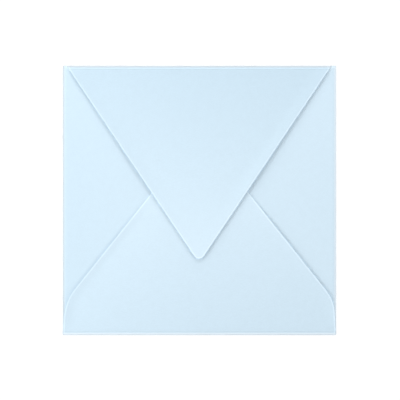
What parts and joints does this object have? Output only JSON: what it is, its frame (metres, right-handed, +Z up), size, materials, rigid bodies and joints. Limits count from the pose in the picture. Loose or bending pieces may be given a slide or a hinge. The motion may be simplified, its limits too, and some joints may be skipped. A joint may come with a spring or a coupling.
{
  "type": "paper envelope",
  "caption": "Square greeting-card envelope in pale blue paper, lying closed with its pointed top flap over the bottom and side flaps.",
  "frame": {"origin": "middle of the front panel's outer face, which is the bottom centre of the part's box as it lies with its flaps up", "axes": "+X along the top fold, to the right as the flap side is seen; +Y from the bottom fold to the top fold; +Z up, out of the flap side"},
  "size_m": [0.165, 0.1624, 0.0015],
  "materials": {
    "paper": "uncoated wove paper, dyed pale blue all through, matte"
  },
  "bodies": {
    "root": {"envelope": "paper"}
  },
  "joints": []
}
